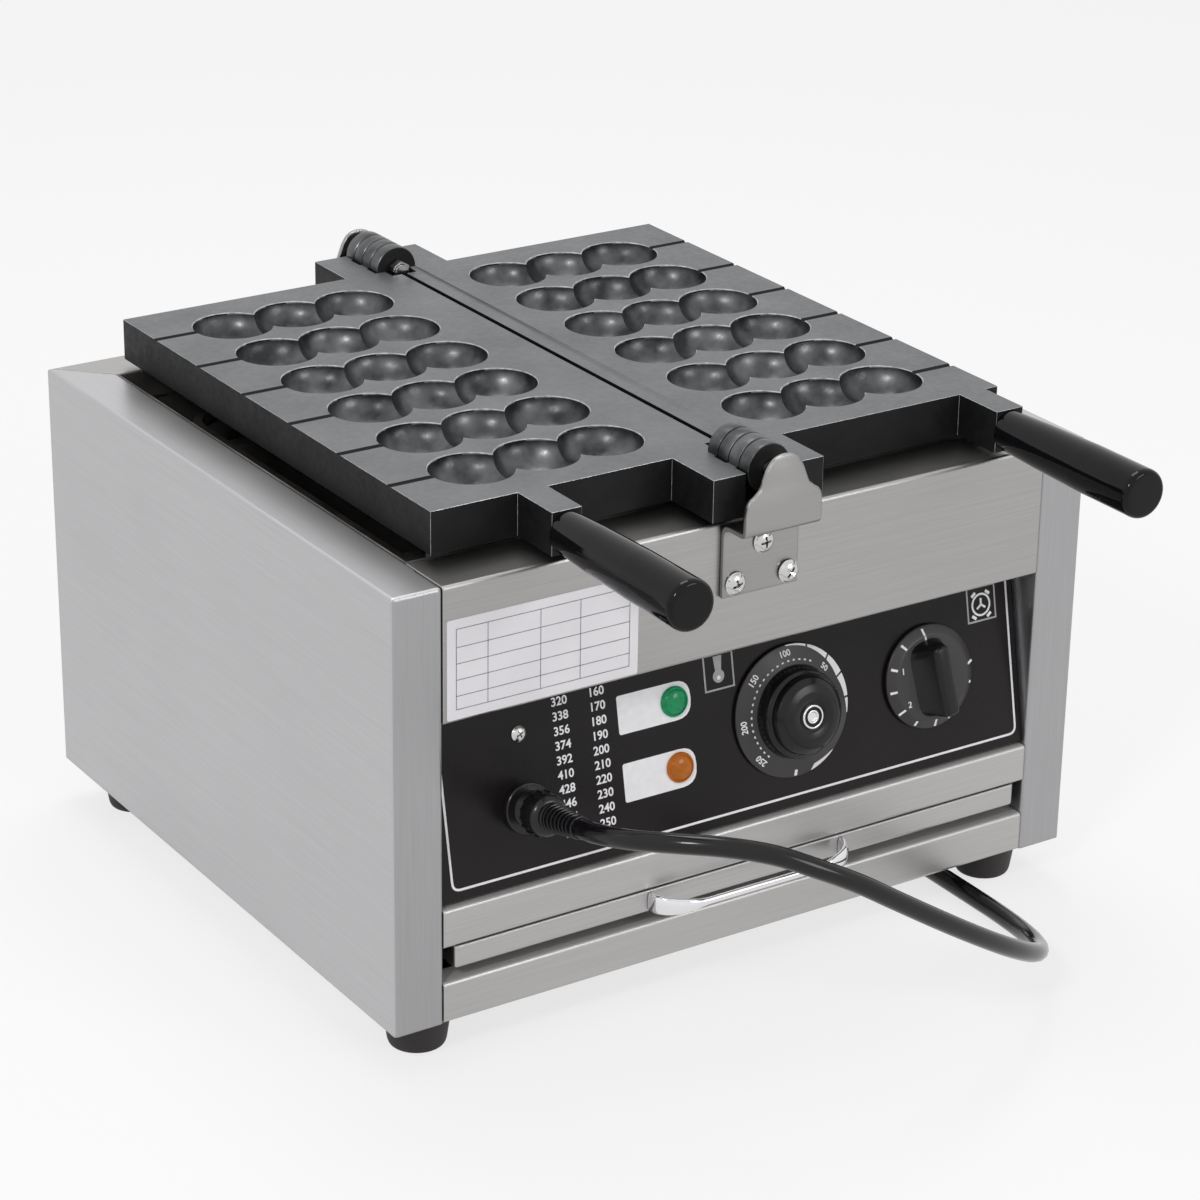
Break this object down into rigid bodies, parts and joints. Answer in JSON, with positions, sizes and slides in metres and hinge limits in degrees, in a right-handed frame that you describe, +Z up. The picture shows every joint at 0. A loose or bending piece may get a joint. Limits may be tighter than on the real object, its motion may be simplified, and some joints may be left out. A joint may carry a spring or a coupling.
{
  "type": "stick waffle maker",
  "caption": "Counter-top stick waffle maker: steel case, slanted control panel, two hinged mould plates with joined ball cavities, crumb tray.",
  "frame": {"origin": "on the table under the middle of the machine's footprint, with the mains lead left out", "axes": "+X to the operator's right, +Y from the operator to the back, +Z up"},
  "size_m": [0.41, 0.6674, 0.2907],
  "materials": {
    "steel": "satin",
    "dark_steel": "heat darkened",
    "chrome": "polished",
    "cast_aluminium": "dark non-stick coat",
    "panel_black": "gloss",
    "black_plastic": "gloss",
    "rubber": "matt",
    "cord_black": "satin",
    "green_lens": "clear",
    "amber_lens": "clear",
    "pale_plastic": "matt"
  },
  "bodies": {
    "case": {"side_panel_left": "steel", "side_panel_right": "steel", "back_panel": "steel", "base_plate": "steel", "front_fascia": "steel", "upper_rail": "steel", "bottom_rail": "steel", "hinge_bracket_front": "steel", "hinge_bracket_rear": "steel", "hinge_pin_front": "steel", "hinge_pin_rear": "steel", "pin_nut_front": "steel", "pin_nut_rear": "steel", "bracket_bolt_front_left": "steel", "bracket_bolt_front_right": "steel", "bracket_bolt_front_top": "steel", "bracket_bolt_rear_left": "steel", "bracket_bolt_rear_right": "steel", "bracket_bolt_rear_top": "steel", "panel_screw": "steel", "heat_chamber": "dark_steel", "heat_shield": "dark_steel", "heater_left": "dark_steel", "heater_right": "dark_steel", "heater_bar_front": "dark_steel", "heater_bar_rear": "dark_steel", "plate_rest_front": "dark_steel", "plate_rest_rear": "dark_steel", "tray_runner_left": "dark_steel", "tray_runner_right": "dark_steel", "control_panel": "panel_black", "gland_body": "black_plastic", "gland_nut": "black_plastic", "plug_body": "black_plastic", "foot_front_left": "rubber", "foot_front_right": "rubber", "foot_rear_left": "rubber", "foot_rear_right": "rubber", "strain_relief": "cord_black", "power_cord": "cord_black", "cord_coil": "cord_black", "cord_tie": "cord_black", "lamp_green": "green_lens", "lamp_amber": "amber_lens", "thermostat_body": "pale_plastic", "timer_body": "pale_plastic", "terminal_block": "pale_plastic"},
    "left_mould": {"mould_plate_left": "cast_aluminium", "handle_stud_left": "steel", "handle_grip_left": "black_plastic"},
    "right_mould": {"mould_plate_right": "cast_aluminium", "handle_stud_right": "steel", "handle_grip_right": "black_plastic"},
    "temperature_control": {"temperature_knob": "black_plastic", "thermostat_shaft": "steel"},
    "timer_control": {"timer_knob": "black_plastic", "timer_shaft": "steel"},
    "tray": {"crumb_tray": "steel", "tray_handle": "chrome"}
  },
  "joints": [
    {"name": "left_mould_hinge", "type": "hinge", "parent": "case", "child": "left_mould", "pos_m": [0, 0.0451, 0.27825], "axis": [0, 1, 0], "range_deg": [0, 180]},
    {"name": "right_mould_hinge", "type": "hinge", "parent": "case", "child": "right_mould", "pos_m": [0, 0.0451, 0.27825], "axis": [0, -1, 0], "range_deg": [0, 180]},
    {"name": "temperature_turn", "type": "hinge", "parent": "case", "child": "temperature_control", "pos_m": [0.0325, -0.13041, 0.13471], "axis": [0, 0.9809, -0.1944], "range_deg": [0, 270]},
    {"name": "timer_turn", "type": "hinge", "parent": "case", "child": "timer_control", "pos_m": [0.11901, -0.13066, 0.13346], "axis": [0, 0.9809, -0.1944], "range_deg": [0, 300]},
    {"name": "tray_slide", "type": "slide", "parent": "case", "child": "tray", "axis": [0, -1, 0], "range_m": [0, 0.075]}
  ]
}
